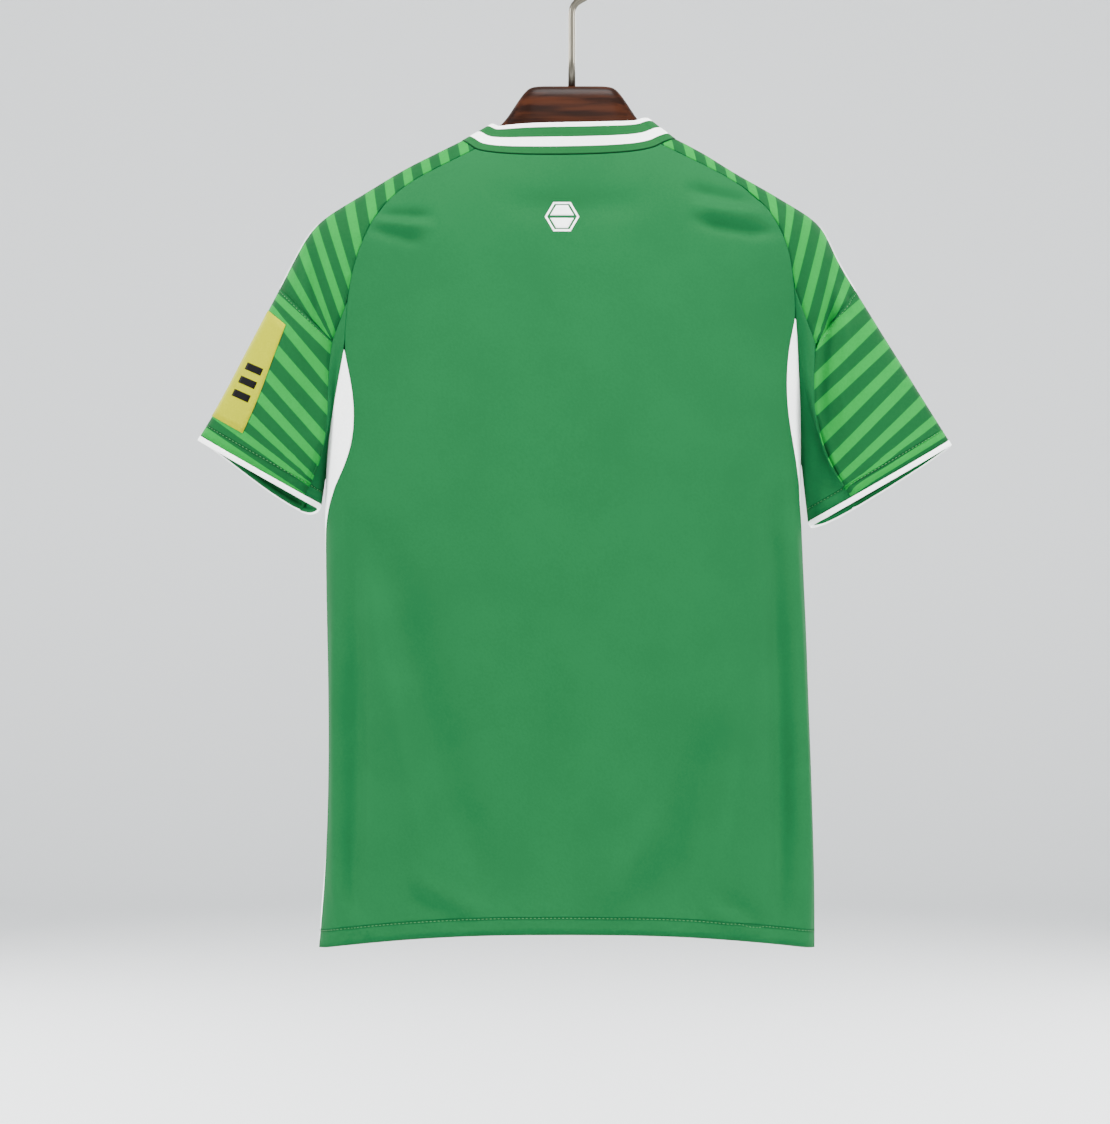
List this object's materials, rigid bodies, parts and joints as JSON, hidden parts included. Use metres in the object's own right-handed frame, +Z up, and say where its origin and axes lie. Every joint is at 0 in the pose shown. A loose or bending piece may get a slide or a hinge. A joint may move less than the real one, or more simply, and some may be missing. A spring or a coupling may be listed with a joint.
{
  "type": "football jersey on a hanger",
  "caption": "Short-sleeved knitted football jersey with raglan shoulders, rib collar and white side panels, hung by its shoulders on a wide wooden hanger with a steel hook.",
  "frame": {"origin": "inside top of the hanger's hook, where a rail carries it", "axes": "+Z up, -Y towards the garment's back, +X towards the wearer's right sleeve"},
  "size_m": [0.6885, 0.1392, 0.9004],
  "materials": {
    "green_knit": "matte polyester knit",
    "striped_knit": "matte polyester knit, striped in two greens",
    "white_knit": "matte polyester knit",
    "collar_rib": "rib knit, green with white bands",
    "yellow_print": "heat-pressed film, satin",
    "dark_wood": "varnished",
    "hook_steel": "satin nickel"
  },
  "bodies": {
    "root": {"back_panel": "green_knit", "front_panel": "green_knit", "side_panel_left": "white_knit", "side_panel_right": "white_knit", "shoulder_left": "striped_knit", "shoulder_right": "striped_knit", "sleeve_left": "striped_knit", "sleeve_right": "striped_knit", "underarm_left": "green_knit", "underarm_right": "green_knit", "cuff_left": "white_knit", "cuff_right": "white_knit", "collar": "collar_rib", "shoulder_tape_left": "white_knit", "shoulder_tape_right": "white_knit", "sleeve_patch": "yellow_print", "hanger": "dark_wood", "hook": "hook_steel"}
  },
  "joints": []
}
